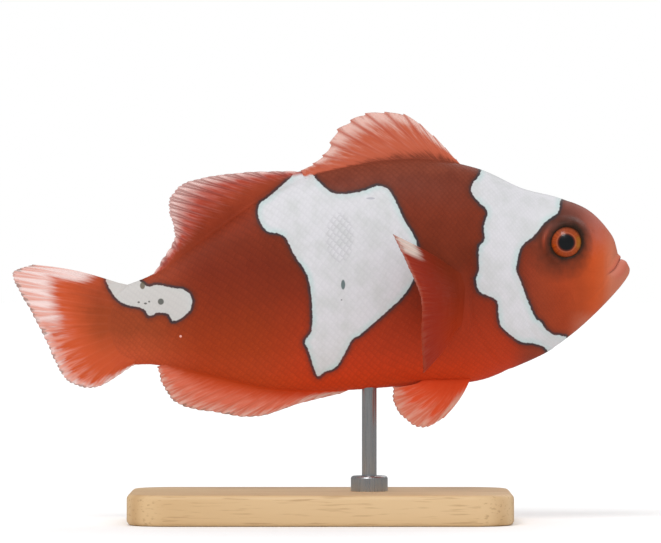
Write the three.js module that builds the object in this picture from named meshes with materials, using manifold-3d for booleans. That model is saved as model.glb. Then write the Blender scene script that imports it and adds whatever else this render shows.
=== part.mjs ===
// Maroon clownfish at life size, swimming level with its fins spread, on a plain display stand.
// Millimetres, +Z up, snout towards +X, the fish's right side towards -Y.
// The origin is on the underside of the stand's base, below the middle of the whole model.

import * as THREE from 'three';
import { mergeVertices } from 'three/addons/utils/BufferGeometryUtils.js';
import loadManifold from 'manifold-3d';

// Driving dimensions.
const TOTAL_LENGTH = 100; // snout tip to the tip of the tail fin
const AXIS_HEIGHT = 40; // the fish's own level line above the floor
const GAP = 0.3; // left between pieces that touch
const UNIT = TOTAL_LENGTH / 100; // every length of the fish below is in hundredths of its length

// Stand.
const BASE = { length: 62, width: 36, height: 5, corner: 7, edge: 0.8 };
const ROD = { x: 7.9, diameter: 2.4, sunk: 4.5 };
const COLLAR = { diameter: 6, height: 2.2, edge: 0.4 };

// Rings round the body from the snout to the root of the tail fin, measured from the level line:
// the highest point, the lowest point and half the width.
const RINGS = [
  { top: [50.1, 0.9], bottom: [50.1, 0.9], half: 0 },
  { top: [49.4, 1.85], bottom: [49.65, -0.5], half: 1.5 },
  { top: [48.25, 3.4], bottom: [47.75, -2.85], half: 2.8 },
  { top: [47.1, 6.6], bottom: [44.7, -6.05], half: 4.2 },
  { top: [43.5, 10.45], bottom: [40.95, -9.42], half: 5.8 },
  { top: [38.4, 12.6], bottom: [36.85, -12.42], half: 7.0 },
  { top: [32.6, 14.1], bottom: [31.6, -14.8], half: 7.7 },
  { top: [25.2, 17.35], bottom: [25.2, -17.2], half: 8.0 },
  { top: [15.6, 18.9], bottom: [15.6, -17.8], half: 7.6 },
  { top: [3.6, 17.5], bottom: [3.6, -18.7], half: 6.5 },
  { top: [-7.6, 13.6], bottom: [-7.6, -18.6], half: 5.0 },
  { top: [-18.0, 6.6], bottom: [-18.0, -16.4], half: 3.5 },
  { top: [-26.6, 0.5], bottom: [-26.6, -14.6], half: 2.3 },
  { top: [-32.4, -2.1], bottom: [-31.8, -14.4], half: 1.5 },
  { top: [-34.9, -4.6], bottom: [-34.4, -11.8], half: 0.9 },
  { top: [-35.6, -8.0], bottom: [-35.6, -8.0], half: 0 },
];
const RING_FACETS = 24; // round the body
const LENGTH_FACETS = 38; // along the body
const SECTION_FULLNESS = 0.94; // below 1 the flanks are fuller than an ellipse

// Lines drawn on the fish's side that part its body, from top to bottom.
const GILL_LINE = [[24.6, 26], [26.6, 8], [24.3, 1], [24.4, -6], [27.6, -12.4], [30.5, -24]];
const TAIL_LINE = [[-21.0, 26], [-22.6, 4], [-24.4, -8], [-24.8, -24]];
const JAW_LINE = [[52, 3.4], [48.6, 2.7], [46.7, 0.2], [41.8, -4.2], [38.4, -10.5], [36.6, -20]];
const GILL_COVER = [
  [26.4, 7.4], [30.6, 7.2], [32.6, 3.6], [33.1, -2.0], [33.9, -7.6],
  [33.8, -11.4], [30.0, -11.6], [26.0, -8.0], [23.2, 0],
];
const GILL_COVER_THICKNESS = 1.3;

const EYE = { x: 39.55, y: 4.4, z: 5.25, radius: 3.2, depth: 2.6 };

// Fins: points along the root and along the outer edge, in step with each other.
// Points of the middle fins are [x, z]; those of the paired fins are [x, outward, z].
const SPINY_DORSAL = {
  rays: 10,
  root: [[22.8, 17.8], [21.3, 18.2], [19.3, 18.6], [16.6, 18.8], [12.0, 18.6], [6.8, 17.9], [-2.6, 15.8]],
  edge: [[21.8, 18.9], [18.2, 22.7], [13.4, 26.2], [7.1, 26.3], [2.6, 23.6], [0.4, 20.2], [-3.3, 17.1]],
  notch: 0.06, root_half: 0.6, edge_half: 0.28, sway: 0.5, rows: 3,
};
const SOFT_DORSAL = {
  rays: 17,
  root: [
    [-3.1, 15.7], [-5.8, 14.6], [-8.4, 13.3], [-11.2, 11.5], [-13.8, 9.6],
    [-16.6, 7.5], [-19.4, 5.5], [-22.2, 3.5], [-27.1, 0],
  ],
  edge: [
    [-4.0, 16.8], [-12.0, 16.7], [-18.0, 16.0], [-22.4, 14.8], [-24.5, 12.5],
    [-24.6, 10.2], [-23.9, 7.7], [-24.1, 5.2], [-27.9, -0.5],
  ],
  notch: 0.04, root_half: 0.6, edge_half: 0.27, sway: 0.7, rows: 3,
};
const ANAL = {
  rays: 15,
  root: [
    [4.6, -18.6], [0.2, -18.8], [-4.5, -18.7], [-9.5, -18.3], [-14.7, -17.2], [-19.8, -15.9], [-25.0, -14.3],
  ],
  edge: [
    [3.0, -19.3], [-3.3, -20.8], [-10.5, -23.0], [-17.1, -22.3],
    [-22.8, -21.1], [-25.4, -18.4], [-26.6, -14.9],
  ],
  notch: 0.05, root_half: 0.6, edge_half: 0.27, sway: -0.5, rows: 3,
};
const CAUDAL = {
  rays: 15,
  root: [
    [-32.8, -1.25], [-34.3, -3.0], [-35.0, -5.2], [-35.1, -7.9],
    [-34.9, -10.4], [-34.0, -12.7], [-32.4, -14.0], [-30.0, -14.0],
  ],
  edge: [
    [-46.8, 2.1], [-50.0, 0.3], [-48.6, -3.2], [-45.7, -8.5],
    [-43.4, -13.5], [-41.2, -17.1], [-36.6, -18.3], [-30.2, -14.7],
  ],
  notch: 0.05, root_half: 0.75, edge_half: 0.27, sway: 1.6, rows: 3,
};
const PECTORAL = {
  rays: 16,
  root: [[22.6, 7.3, -0.3], [22.6, 7.5, -2.3], [22.4, 7.5, -4.2], [22.2, 7.4, -6.0], [22.0, 7.1, -7.6]],
  edge: [[11.5, 16.4, 6.5], [13.8, 20.8, 1.6], [15.9, 22.2, -3.8], [16.0, 20.4, -9.8], [16.4, 15.2, -15.6]],
  notch: 0.04, root_half: 0.55, edge_half: 0.27, sway: 0, rows: 3,
};
const PELVIC = {
  rays: 6,
  root: [[24.1, 1.5, -17.1], [22.4, 1.7, -17.3], [20.6, 1.8, -17.4], [18.7, 1.9, -17.5], [16.8, 1.8, -17.6]],
  edge: [[19.8, 3.3, -23.2], [16.6, 4.4, -24.7], [13.6, 4.6, -23.4], [11.9, 4.0, -21.0], [11.5, 3.0, -18.2]],
  notch: 0.06, root_half: 0.6, edge_half: 0.27, sway: 0, rows: 3,
};
const ROOT_SUNK = 2.5; // each fin starts this far inside the body, before it is trimmed to it
const RAY_BOW = 0.06; // how far a ray bows sideways, as a share of its length

// Flat faces round each small shape, and along each curve that an outline follows.
const FACETS = { eye_round: 14, eye_rings: 8, rod: 16, collar: 20, gill_cover: 28, line: 4, corner: 5 };
const LINE_STEP = 0.01; // share of a fin's width or length over which its slope is measured

const SKIN = { maroon: 0x8a3a1e, amber: 0xa84a22, orange: 0xc8552d };

const wasm = await loadManifold();
wasm.setup();

// --- closed meshes and boolean cuts -----------------------------------------------------------

function positionsOnly(geometry) {
  geometry.deleteAttribute('normal');
  geometry.deleteAttribute('uv');
  return mergeVertices(geometry, 1e-5);
}

function signedVolume(geometry) {
  const place = geometry.attributes.position;
  const [a, b, c] = [new THREE.Vector3(), new THREE.Vector3(), new THREE.Vector3()];
  let volume = 0;
  for (let i = 0; i < geometry.index.count; i += 3) {
    a.fromBufferAttribute(place, geometry.index.getX(i));
    b.fromBufferAttribute(place, geometry.index.getX(i + 1));
    c.fromBufferAttribute(place, geometry.index.getX(i + 2));
    volume += a.dot(b.cross(c)) / 6;
  }
  return volume;
}

// A shape that its mapping or mirroring has turned inside out is turned back.
function facingOut(geometry) {
  const merged = positionsOnly(geometry);
  if (signedVolume(merged) < 0) {
    merged.index.array.reverse();
  }
  return merged;
}

function toSolid(geometry) {
  const merged = facingOut(geometry);
  const vertProperties = new Float32Array(merged.attributes.position.array);
  const triVerts = new Uint32Array(merged.index.array);
  return new wasm.Manifold(new wasm.Mesh({ numProp: 3, vertProperties, triVerts }));
}

function toGeometry(solid) {
  const { vertProperties, triVerts } = solid.getMesh();
  const geometry = new THREE.BufferGeometry();
  geometry.setAttribute('position', new THREE.BufferAttribute(vertProperties, 3));
  geometry.setIndex(new THREE.BufferAttribute(triVerts, 1));
  const flat = geometry.toNonIndexed();
  flat.computeVertexNormals();
  return flat;
}

// --- the body ---------------------------------------------------------------------------------

const flankPoint = ([x, z]) => new THREE.Vector2(x * UNIT, z * UNIT);
const topLine = new THREE.SplineCurve(RINGS.map((ring) => flankPoint(ring.top)));
const bottomLine = new THREE.SplineCurve(RINGS.map((ring) => flankPoint(ring.bottom)));
const halfLine = new THREE.SplineCurve(RINGS.map((ring, i) => new THREE.Vector2(i, ring.half * UNIT)));

// The whole body as one closed shape: a sphere whose poles are the snout and the tail's root.
function bodyGeometry(grow) {
  const sphere = new THREE.SphereGeometry(1, RING_FACETS, LENGTH_FACETS);
  const place = sphere.attributes.position;
  for (let i = 0; i < place.count; i += 1) {
    const along = Math.acos(THREE.MathUtils.clamp(place.getY(i), -1, 1)) / Math.PI;
    const round = Math.atan2(place.getZ(i), -place.getX(i));
    const top = topLine.getPoint(along);
    const bottom = bottomLine.getPoint(along);
    const half = Math.max(halfLine.getPoint(along).y, 0);
    const down = (1 - Math.cos(round)) / 2;
    const side = Math.sign(Math.sin(round)) * Math.abs(Math.sin(round)) ** SECTION_FULLNESS;
    const middle = top.lerp(bottom, down);
    const pole = along < 1e-6 || along > 1 - 1e-6;
    place.setXYZ(i, middle.x, pole ? 0 : side * half, middle.y);
  }
  const body = facingOut(sphere);
  body.computeVertexNormals();
  const normal = body.attributes.normal;
  const grown = body.attributes.position;
  for (let i = 0; i < grown.count; i += 1) {
    grown.setXYZ(
      i,
      grown.getX(i) + normal.getX(i) * grow,
      grown.getY(i) + normal.getY(i) * grow,
      grown.getZ(i) + normal.getZ(i) * grow,
    );
  }
  return body;
}

const body = toSolid(bodyGeometry(0));
const bodyWithGap = toSolid(bodyGeometry(GAP));

// Stands a flat outline of the side view up across the fish, from one width to another.
function slab(points, from, to) {
  const shape = new THREE.Shape(points);
  const geometry = new THREE.ExtrudeGeometry(shape, { depth: to - from, bevelEnabled: false });
  geometry.rotateX(Math.PI / 2);
  geometry.translate(0, to, 0);
  return toSolid(geometry);
}

// Everything ahead of a line on the side view, moved along the fish by a shift.
function ahead(line, shift) {
  const far = TOTAL_LENGTH;
  const curve = new THREE.SplineCurve(line.map(flankPoint));
  const edge = curve.getPoints(FACETS.line * line.length);
  const points = edge.map((point) => new THREE.Vector2(point.x + shift, point.y));
  points.push(new THREE.Vector2(far, points.at(-1).y), new THREE.Vector2(far, points[0].y));
  return slab(points, -far, far);
}

// The outline of one gill cover, grown by a margin, on one side of the fish only.
function gillCoverSlab(side, grow) {
  const curve = new THREE.CatmullRomCurve3(GILL_COVER.map(([x, z]) => new THREE.Vector3(x, z, 0)), true);
  const ring = curve.getPoints(FACETS.gill_cover).slice(0, -1);
  const centre = ring.reduce((sum, point) => sum.add(point), new THREE.Vector3()).divideScalar(ring.length);
  const points = ring.map((point) => {
    const arm = point.clone().sub(centre);
    arm.setLength(arm.length() + grow);
    return flankPoint([centre.x + arm.x, centre.y + arm.y]);
  });
  const far = 20 * UNIT;
  return side > 0 ? slab(points, 0, far) : slab(points, -far, 0);
}

function eyeGeometry(side, grow) {
  const ball = new THREE.SphereGeometry(1, FACETS.eye_round, FACETS.eye_rings);
  const [radius, depth] = [EYE.radius * UNIT + grow, EYE.depth * UNIT + grow];
  ball.scale(radius, depth, radius);
  ball.translate(EYE.x * UNIT, side * EYE.y * UNIT, EYE.z * UNIT);
  return ball;
}

function rodGeometry(grow) {
  const top = lowestBelly(ROD.x) + ROD.sunk + grow;
  const bottom = BASE.height + GAP - AXIS_HEIGHT;
  const radius = ROD.diameter / 2 + grow;
  const rod = new THREE.CylinderGeometry(radius, radius, top - bottom, FACETS.rod);
  rod.rotateX(Math.PI / 2);
  rod.translate(ROD.x * UNIT, 0, (top + bottom) / 2);
  return rod;
}

// Height of the belly's outline at a place along the fish.
function lowestBelly(x) {
  const points = bottomLine.getPoints(200);
  const away = (point) => Math.abs(point.x - x);
  return points.reduce((best, point) => (away(point) < away(best) ? point : best)).y;
}

// --- the fins ---------------------------------------------------------------------------------

function finPoint(point, side) {
  const [x, outward, z] = point.length === 3 ? point : [point[0], 0, point[1]];
  return new THREE.Vector3(x * UNIT, side * outward * UNIT, z * UNIT);
}

function finLine(points, side) {
  return new THREE.CatmullRomCurve3(points.map((point) => finPoint(point, side)), false, 'catmullrom', 0.5);
}

// A fin as a closed sheet: rays fan out from its root, and the edge dips between one ray and the next.
function finGeometry(fin, side = 1) {
  const rootLine = finLine(fin.root, side);
  const edgeLine = finLine(fin.edge, side);
  const columns = 2 * (fin.rays - 1);
  const bow = fin.root[0].length === 3 ? RAY_BOW : 0;
  const onSheet = (across, out) => {
    const start = rootLine.getPoint(across);
    const ray = edgeLine.getPoint(across).sub(start);
    const dip = 1 - fin.notch * (1 - Math.abs(Math.cos((Math.PI * across * columns) / 2)));
    const length = ray.length();
    const reach = out * (length * dip + ROOT_SUNK * UNIT) - ROOT_SUNK * UNIT;
    const share = Math.max(reach / length, 0);
    const point = start.addScaledVector(ray.normalize(), reach);
    point.y += fin.sway * UNIT * Math.sin(Math.PI * across) * share ** 2;
    point.x += bow * length * Math.sin(Math.PI * Math.min(share, 1));
    return point;
  };
  const sheet = new THREE.BoxGeometry(1, 1, 1, columns, fin.rows, 1);
  const place = sheet.attributes.position;
  for (let i = 0; i < place.count; i += 1) {
    const across = place.getX(i) + 0.5;
    const out = place.getY(i) + 0.5;
    const face = Math.sign(place.getZ(i));
    const point = onSheet(across, out);
    const [low, high] = [Math.max(across - LINE_STEP, 0), Math.min(across + LINE_STEP, 1)];
    const [inner, outer] = [Math.max(out - LINE_STEP, 0), Math.min(out + LINE_STEP, 1)];
    const alongRoot = edgeLine.getPoint(high).sub(edgeLine.getPoint(low));
    const alongRay = onSheet(across, outer).sub(onSheet(across, inner));
    const normal = alongRoot.cross(alongRay).normalize();
    const half = THREE.MathUtils.lerp(fin.root_half, fin.edge_half, out) * UNIT;
    point.addScaledVector(normal, face * half);
    place.setXYZ(i, point.x, point.y, point.z);
  }
  return sheet;
}

// --- the stand --------------------------------------------------------------------------------

function baseGeometry() {
  const { length, width, height, corner, edge } = BASE;
  const [x, y, r] = [length / 2 - edge, width / 2 - edge, corner - edge];
  const shape = new THREE.Shape();
  shape.absarc(x - r, y - r, r, 0, Math.PI / 2);
  shape.absarc(r - x, y - r, r, Math.PI / 2, Math.PI);
  shape.absarc(r - x, r - y, r, Math.PI, 1.5 * Math.PI);
  shape.absarc(x - r, r - y, r, 1.5 * Math.PI, 2 * Math.PI);
  const slabOfWood = new THREE.ExtrudeGeometry(shape, {
    depth: height - 2 * edge,
    bevelThickness: edge,
    bevelSize: edge,
    bevelSegments: 1,
    curveSegments: FACETS.corner,
  });
  slabOfWood.translate(0, 0, edge);
  return slabOfWood;
}

// A turned ring round the foot of the rod, with a clear hole for it.
function collarGeometry() {
  const { diameter, height, edge } = COLLAR;
  const inner = ROD.diameter / 2 + GAP;
  const outer = diameter / 2;
  const profile = [
    [inner, 0], [outer, 0], [outer, height - edge], [outer - edge, height], [inner, height], [inner, 0],
  ].map(([r, z]) => new THREE.Vector2(r, z));
  const collar = new THREE.LatheGeometry(profile, FACETS.collar);
  collar.rotateX(Math.PI / 2);
  collar.translate(ROD.x * UNIT, 0, BASE.height + GAP);
  return collar;
}

// --- assembly ---------------------------------------------------------------------------------

const fish = new THREE.Group();
fish.position.z = AXIS_HEIGHT;
const stand = new THREE.Group();
const model = new THREE.Group();
model.add(fish, stand);

function addPiece(group, name, geometry, color, roughness, metalness = 0) {
  const mesh = new THREE.Mesh(geometry, new THREE.MeshStandardMaterial({ color, roughness, metalness }));
  mesh.name = name;
  group.add(mesh);
}

function addBody() {
  const skull = body.intersect(ahead(GILL_LINE, GAP / 2));
  const rest = body.subtract(ahead(GILL_LINE, -GAP / 2));
  const jaw = ahead(JAW_LINE, GAP / 2);
  const core = toSolid(bodyGeometry(-GILL_COVER_THICKNESS * UNIT));
  const deeperCore = toSolid(bodyGeometry(-GILL_COVER_THICKNESS * UNIT - GAP));
  let head = skull.subtract(ahead(JAW_LINE, -GAP));
  for (const [side, word] of [[1, 'left'], [-1, 'right']]) {
    const cover = skull.intersect(gillCoverSlab(side, 0)).subtract(core);
    addPiece(fish, `gill_cover_${word}`, toGeometry(cover), SKIN.amber, 0.5);
    head = head.subtract(gillCoverSlab(side, GAP).subtract(deeperCore));
    head = head.subtract(toSolid(eyeGeometry(side, GAP)));
    addPiece(fish, `eye_${word}`, eyeGeometry(side, 0), 0x1b1410, 0.15);
  }
  const tail = ahead(TAIL_LINE, GAP / 2);
  const trunk = rest.intersect(tail).subtract(toSolid(rodGeometry(GAP)));
  addPiece(fish, 'head', toGeometry(head), SKIN.amber, 0.5);
  addPiece(fish, 'jaw_lower', toGeometry(skull.intersect(jaw)), SKIN.amber, 0.5);
  addPiece(fish, 'trunk', toGeometry(trunk), SKIN.maroon, 0.5);
  addPiece(fish, 'tail_peduncle', toGeometry(rest.subtract(ahead(TAIL_LINE, -GAP / 2))), SKIN.amber, 0.5);
}

// A fin is trimmed to the body, so that it sits on the back, belly or flank with a hairline gap.
function addFin(name, fin, side) {
  const trimmed = toSolid(finGeometry(fin, side)).subtract(bodyWithGap);
  addPiece(fish, name, toGeometry(trimmed), SKIN.orange, 0.55);
}

function addFins() {
  addFin('dorsal_fin_spiny', SPINY_DORSAL, 1);
  addFin('dorsal_fin_soft', SOFT_DORSAL, 1);
  addFin('anal_fin', ANAL, 1);
  addFin('caudal_fin', CAUDAL, 1);
  addFin('pectoral_fin_left', PECTORAL, 1);
  addFin('pectoral_fin_right', PECTORAL, -1);
  addFin('pelvic_fin_left', PELVIC, 1);
  addFin('pelvic_fin_right', PELVIC, -1);
}

function addStand() {
  addPiece(stand, 'stand_base', baseGeometry(), 0xd8b98c, 0.5);
  addPiece(stand, 'stand_collar', collarGeometry(), 0xb9bcc0, 0.3, 1);
  addPiece(fish, 'stand_rod', rodGeometry(0), 0xb9bcc0, 0.3, 1);
}

addBody();
addFins();
addStand();

export default model;
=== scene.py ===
import math

import bmesh
import bpy
import numpy as np
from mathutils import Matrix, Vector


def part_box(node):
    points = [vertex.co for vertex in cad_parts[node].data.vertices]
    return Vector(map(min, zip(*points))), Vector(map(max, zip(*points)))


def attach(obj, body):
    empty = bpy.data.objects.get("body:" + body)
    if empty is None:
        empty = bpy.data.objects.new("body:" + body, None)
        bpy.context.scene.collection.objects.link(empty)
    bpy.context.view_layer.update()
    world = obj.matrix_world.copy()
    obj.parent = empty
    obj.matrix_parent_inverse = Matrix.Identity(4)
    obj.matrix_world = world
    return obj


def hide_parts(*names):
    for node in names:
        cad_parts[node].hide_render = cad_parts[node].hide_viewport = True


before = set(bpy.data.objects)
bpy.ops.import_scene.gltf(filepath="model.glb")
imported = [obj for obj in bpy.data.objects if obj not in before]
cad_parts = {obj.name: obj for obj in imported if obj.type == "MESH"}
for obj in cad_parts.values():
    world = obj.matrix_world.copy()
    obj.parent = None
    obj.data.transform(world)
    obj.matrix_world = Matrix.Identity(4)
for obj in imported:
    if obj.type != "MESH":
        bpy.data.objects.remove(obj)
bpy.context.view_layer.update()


def colour(red, green, blue):
    """A colour named by its usual 0 to 255 values, as the linear values that shaders take."""
    values = np.array((red, green, blue)) / 255
    linear = np.where(values <= 0.04045, values / 12.92, ((values + 0.055) / 1.055) ** 2.4)
    return (*linear.tolist(), 1.0)


# ---------------------------------------------------------------------------------------------
# Measures. The fish is drawn in hundredths of its own length, from its level line:
# x runs towards the snout, y to the fish's left, z up. PART and LEVEL carry that into the frame.
# ---------------------------------------------------------------------------------------------

SNOUT_X, TAIL_ROOT_X = 50.1, -35.6
BELLY_DEPTH = 18.84
PART = (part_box("jaw_lower")[1].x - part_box("tail_peduncle")[0].x) / (SNOUT_X - TAIL_ROOT_X)
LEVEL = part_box("trunk")[0].z + BELLY_DEPTH * PART
MM = 0.001

# The camera looks along +y, square on to the fish's middle plane.
VIEW_MIDDLE = (1.62, 0.57)  # x and z at the middle of the picture
VIEW_WIDTH = 107.1  # how much of that plane it takes in
LENS, SENSOR = 300.0, 36.0
VIEW_FROM = VIEW_WIDTH * LENS / SENSOR

# Rings round the body, snout to tail root: x and z of its top, x and z of its bottom, half width.
RINGS = (
    (50.1, 0.9, 50.1, 0.9, 0.0),
    (49.4, 1.85, 49.65, -0.5, 1.5),
    (48.25, 3.4, 47.75, -2.85, 2.8),
    (47.1, 6.6, 44.7, -6.05, 4.2),
    (43.5, 10.45, 40.95, -9.42, 5.8),
    (38.4, 12.6, 36.85, -12.42, 7.0),
    (32.6, 14.1, 31.6, -14.8, 7.7),
    (25.2, 17.35, 25.2, -17.2, 8.0),
    (15.6, 18.9, 15.6, -17.8, 7.6),
    (3.6, 17.5, 3.6, -18.7, 6.5),
    (-7.6, 13.6, -7.6, -18.6, 5.0),
    (-18.0, 6.6, -18.0, -16.4, 3.5),
    (-26.6, 0.5, -26.6, -14.6, 2.3),
    (-32.4, -2.1, -31.8, -14.4, 1.5),
    (-34.9, -4.6, -34.4, -11.8, 0.9),
    (-35.6, -8.0, -35.6, -8.0, 0.0),
)
SECTION_FULLNESS = 0.94
TIP_ROUNDING = 0.6  # how blunt the snout's very tip is
SKIN_AROUND, SKIN_ALONG = 240, 330
RULER_STEPS, RING_STEPS = 900, 240  # how finely the body is measured along and around
FLANK_TURN = 1.4  # the way round from the back to the line along which it is measured
COAT_DEPTH = 0.14  # the skin lies this far inside the solids, and the scales fill it

EYE = (39.55, 5.25)  # x and z of the eye's axis
EYE_OUT = 4.4  # how far the ball's middle lies from the fish's middle
EYE_RADIUS, EYE_DEPTH = 3.2, 2.6
EYE_PLAY = 0.985  # the eyeball's share of its solid's size, clear of the socket
EYE_DOME, EYE_FLAT = 0.1, 0.04  # how far the clear front swells, and how much flatter the ball is
EYE_SEGMENTS, EYE_BANDS = 96, 72
PUPIL_RADIUS, IRIS_RADIUS = 1.3, 2.38

# Lines on the side view.
GILL_EDGE = (
    (29.4, 9.4), (26.6, 6.6), (24.5, 1.0), (24.5, -6.0), (27.6, -12.4), (31.8, -15.4), (36.5, -13.6),
)
CHEEK_EDGE = ((33.6, 4.0), (32.6, -1.0), (32.9, -6.0), (34.6, -9.8), (38.2, -11.6), (42.0, -9.2))
MOUTH = (
    (49.6, 3.0), (48.6, 2.6), (48.15, 1.95), (47.8, 1.3), (47.3, 0.75), (46.8, 0.35), (46.2, -0.1),
)
JAW_CREASE = ((46.7, 0.3), (45.6, -1.6), (43.8, -3.6), (41.2, -5.0))
LIP_CREASE = ((46.5, 0.2), (46.2, 1.6), (46.4, 3.0), (47.2, 4.4))
CREASES = ((JAW_CREASE, 0.06, 0.25), (LIP_CREASE, 0.06, 0.22), (CHEEK_EDGE, 0.07, 0.35))  # depth, width
NOSTRIL = (44.0, 7.1)
NAKED_FACE = (
    (41.5, 14.0), (40.2, 10.6), (36.4, 9.4), (35.6, 4.5), (37.0, 0.8), (40.6, -1.6), (42.0, -6.0),
    (40.0, -12.0),
)
PECTORAL_BASE = ((22.5, -0.6), (22.4, -4.4), (22.0, -8.2))
FAR = 9.0  # stands for any distance too large to matter
BATCH = 20000  # side-view points that are measured at a time

# Ridges and hollows of the skin beside such a line or axis: height, how far off it, and width.
MOUTH_CLEFT = ((-0.24, 0.0, 0.08), (-0.08, 0.0, 0.3))
UPPER_LIP = ((0.13, 0.4, 0.3), (-0.05, 1.0, 0.25))
LOWER_LIP = ((0.3, -0.95, 0.75), (-0.05, -2.7, 0.5))
EYE_RIM = ((0.1, 2.75, 0.3), (-0.07, 3.5, 0.5))
EYE_FOLD = ((0.08, 3.6, 0.2), (-0.06, 4.0, 0.2))
NOSTRIL_PIT = ((-0.22, 0.0, 0.17), (0.05, 0.34, 0.12))
CHEEK_BULGE = (36.4, -3.4, 3.0, 3.6, 0.16)  # x and z of its middle, its widths along x and z, height
SOCKET_DEPTH, SOCKET_FLOOR, SOCKET_EDGE = 1.6, 1.7, 2.42
# The dark skin round the eye: how far it reaches, and how much further ahead, behind and below.
SHADE_REACH = (4.4, -2.0, 1.2, 1.0)

# White bars, each a closed loop on the side view.
HEAD_BAR = (
    (27.2, 18.6), (25.8, 16.2), (24.7, 14.8), (24.5, 13.4), (25.8, 11.7), (27.1, 10.3), (26.5, 7.9),
    (26.6, 5.7), (25.7, 4.4), (25.7, 0.8), (25.2, -0.8), (25.9, -2.8), (28.5, -4.0), (28.9, -6.8),
    (29.5, -8.5), (32.4, -10.8), (34.4, -11.0), (36.4, -11.8), (37.6, -13.4), (39.8, -12.6),
    (39.9, -10.2), (37.5, -9.6), (36.3, -8.6), (35.7, -7.6), (34.8, -7.0), (33.5, -4.0), (32.4, -1.0),
    (31.7, 0.6), (32.0, 3.0), (32.7, 4.8), (34.4, 6.2), (36.4, 8.6), (38.4, 10.1), (38.9, 12.2),
    (39.4, 14.2), (33.0, 16.4),
)
MIDDLE_BAR = (
    (-3.6, 17.6), (-1.5, 16.5), (-0.5, 15.3), (1.7, 13.4), (3.9, 13.1), (6.9, 13.6), (9.2, 14.4),
    (10.9, 13.9), (12.2, 11.8), (13.4, 9.2), (15.4, 5.7), (15.9, 2.6), (15.3, -0.3), (13.2, -3.6),
    (10.4, -6.2), (6.7, -9.4), (5.1, -10.5), (4.1, -12.3), (2.6, -14.8), (0.7, -15.7), (-0.3, -16.4),
    (-0.9, -15.6), (-1.9, -12.3), (-2.5, -10.8), (-1.5, -9.2), (-1.3, -6.4), (-1.5, -3.2),
    (-2.2, 0.2), (-4.0, 2.9), (-5.6, 6.0), (-6.6, 6.7), (-8.7, 7.2), (-10.0, 9.2), (-9.9, 11.4),
    (-8.4, 12.6), (-5.9, 14.8), (-4.6, 16.0),
)
TAIL_BAR = (
    (-34.7, -0.3), (-31.6, -0.2), (-29.8, -0.5), (-29.0, -1.2), (-28.0, -1.9), (-26.4, -1.6),
    (-24.1, -2.1), (-22.4, -2.3), (-21.1, -3.2), (-20.8, -4.7), (-21.6, -6.2), (-23.8, -7.5),
    (-24.7, -6.3), (-26.4, -6.1), (-27.8, -6.6), (-28.8, -5.4), (-31.7, -4.7), (-33.5, -3.2),
)
WHITE_BARS = (HEAD_BAR, MIDDLE_BAR, TAIL_BAR)
# Freckles: x, z, radius along the fish and up it, and colour.
FRECKLES = (
    (-28.8, -1.7, 0.42, 0.6, (92, 80, 60)), (-25.8, -4.3, 0.5, 0.52, (72, 74, 68)),
    (-29.4, -4.4, 0.2, 0.16, (84, 84, 80)), (-28.3, -4.6, 0.26, 0.16, (84, 84, 80)),
    (-27.7, -4.3, 0.16, 0.16, (84, 84, 80)), (3.65, -1.55, 0.34, 0.8, (70, 92, 92)),
    (8.1, 12.35, 0.7, 0.18, (172, 172, 180)), (3.4, -4.0, 0.14, 0.12, (120, 120, 120)),
    (-22.6, -9.9, 0.2, 0.2, (236, 176, 164)),
)
GREY_OVAL = (3.1, 6.0, 2.3, 4.1)  # grey-edged scales in the middle bar: x, z, half width, half height

# The ground colours as their usual 0 to 255 values, each with its place: heights up the fish, and
# for the cheek places along it.
GROUND = {
    "front": (
        (-18.5, 202, 62, 26), (-15.0, 192, 58, 24), (-12.0, 176, 55, 24), (-7.3, 158, 51, 23),
        (-3.0, 134, 46, 24), (2.5, 112, 42, 21), (10.0, 122, 49, 29), (15.0, 118, 54, 38),
        (17.5, 128, 62, 44),
    ),
    "rear": (
        (-19.0, 192, 68, 30), (-16.0, 180, 64, 28), (-12.0, 162, 57, 20), (-8.0, 147, 52, 20),
        (-3.0, 131, 46, 22), (1.0, 122, 43, 23), (5.0, 124, 46, 25), (9.0, 134, 50, 28),
        (14.0, 152, 62, 38),
    ),
    "tail": (
        (-15.0, 192, 80, 48), (-12.5, 184, 78, 44), (-9.5, 156, 68, 36), (-6.0, 148, 64, 34),
        (-1.5, 160, 68, 42),
    ),
    "cheek": (
        (33.0, 140, 56, 34), (36.0, 150, 60, 33), (39.0, 162, 62, 30), (42.0, 166, 66, 30),
        (44.0, 184, 75, 33), (45.5, 188, 84, 44), (47.0, 190, 108, 80), (49.0, 188, 112, 88),
    ),
}
# Other colours on the fish and its stand.
TONES = {name: colour(*values) for name, values in dict(
    brow_rear=(120, 66, 56), brow_front=(178, 102, 88), chin=(196, 132, 108),
    scale_edge=(70, 26, 18), eye_shade=(50, 34, 26), eye_fold=(156, 100, 80),
    # The darkest of the mouth's tones is painted shade along the closed mouth's crease.
    lower_lip=(196, 142, 122), under_lip=(176, 114, 90), upper_lip=(198, 94, 76), cleft_shade=(140, 70, 58),
    bar_dusk=(70, 44, 36), bar_outline=(54, 52, 56), bar_edge=(190, 205, 205), bar=(210, 209, 213),
    bar_cloud=(200, 201, 202), tail_bar=(194, 190, 186), grey_edge=(150, 148, 156),
    # The iris's upper part is darkened towards its top with a painted shadow.
    iris_deep=(140, 50, 6), iris=(168, 68, 10), iris_gold=(152, 98, 10), iris_top_shadow=(128, 58, 30),
    inner_iris=(176, 92, 62), pupil_edge=(84, 26, 10), eye_rim=(66, 34, 22), pupil=(10, 14, 18),
    wood=(212, 178, 132), wood_band=(196, 158, 110), wood_pale=(222, 192, 150), pore=(158, 118, 76),
    steel_dark=(176, 178, 180), steel_light=(206, 208, 210),
).items()}
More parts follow.
